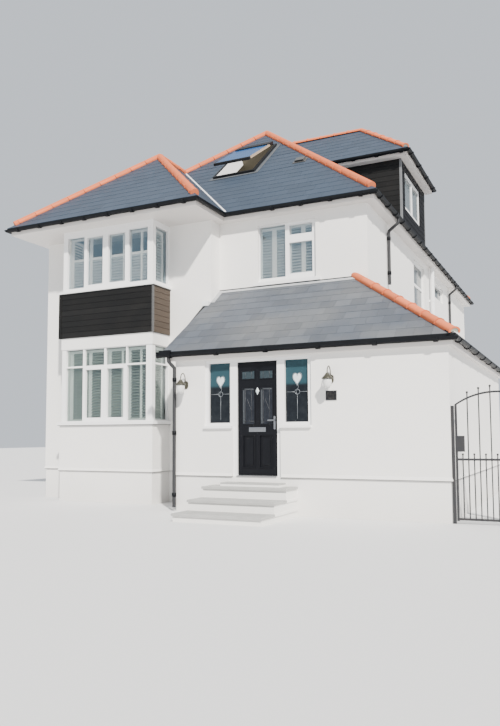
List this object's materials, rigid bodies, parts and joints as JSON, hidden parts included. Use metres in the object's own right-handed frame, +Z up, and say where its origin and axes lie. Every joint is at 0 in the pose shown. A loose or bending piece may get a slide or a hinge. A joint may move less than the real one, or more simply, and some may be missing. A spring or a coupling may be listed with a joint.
{
  "type": "detached house",
  "caption": "Two-storey rendered house with a hipped wing over a full-height bay, a side dormer, a wrap-round entrance hall with steps and a side gate.",
  "frame": {"origin": "on the ground at the middle of the main block's plan", "axes": "-Y out of the front, +X to the right seen from the front, +Z up"},
  "size_m": [11.189, 15.852, 9.7245],
  "materials": {
    "render": "smooth painted render",
    "plinth": "smooth painted render",
    "concrete": "plain",
    "slate": "matt slate",
    "terracotta": "matt clay",
    "board": "dark painted boards",
    "white_plastic": "white",
    "eaves": "white",
    "glass": "clear",
    "gutter": "black",
    "door": "black",
    "silver": "satin",
    "step_stone": "white risers under grey slabs",
    "iron": "black",
    "plate": "black"
  },
  "bodies": {
    "house": {"back_wall": "render", "back_window_lower": "white_plastic", "back_window_upper": "white_plastic", "bay_band": "render", "bay_cladding": "board", "bay_lower_glass": "glass", "bay_lower_window": "white_plastic", "bay_upper_glass": "glass", "bay_upper_window": "white_plastic", "bay_wall": "render", "door_frame": "white_plastic", "dormer_gutter": "gutter", "dormer_roof": "slate", "dormer_soffit": "eaves", "dormer_walls": "board", "dormer_window": "white_plastic", "first_floor": "concrete", "foundation": "plinth", "front_window": "white_plastic", "front_window_glass": "glass", "gate_post": "iron", "hall_back_wall": "render", "hall_downpipe": "gutter", "hall_gutter": "gutter", "hall_hip_tiles": "terracotta", "hall_left_wall": "render", "hall_lintel": "render", "hall_right_wall": "render", "hall_roof": "slate", "hall_side_wall": "render", "hall_soffit": "eaves", "latch_post": "iron", "left_apron": "render", "left_lamp": "iron", "left_wall": "render", "loft_floor": "concrete", "main_downpipe": "gutter", "main_front_wall": "render", "main_gutter": "gutter", "main_hip_tiles": "terracotta", "main_roof": "slate", "main_soffit": "eaves", "number_plate": "plate", "rear_downpipe": "gutter", "right_apron": "render", "right_lamp": "iron", "right_wall": "render", "right_window_back": "white_plastic", "right_window_front": "white_plastic", "roof_window": "white_plastic", "roof_window_sash": "white_plastic", "soil_pipe": "white_plastic", "steps": "step_stone", "wing_front_wall": "render"},
    "door": {"front_door": "door", "door_handle": "silver", "letter_plate": "silver"},
    "gate": {"side_gate": "iron"}
  },
  "joints": [
    {"name": "front_door_hinge", "type": "hinge", "parent": "house", "child": "door", "pos_m": [1.862, -7.786, 1.7], "axis": [0, 0, 1], "range_deg": [0, 90]},
    {"name": "side_gate_hinge", "type": "hinge", "parent": "house", "child": "gate", "pos_m": [6.946, -7.795, 1], "axis": [0, 0, -1], "range_deg": [0, 90]}
  ]
}
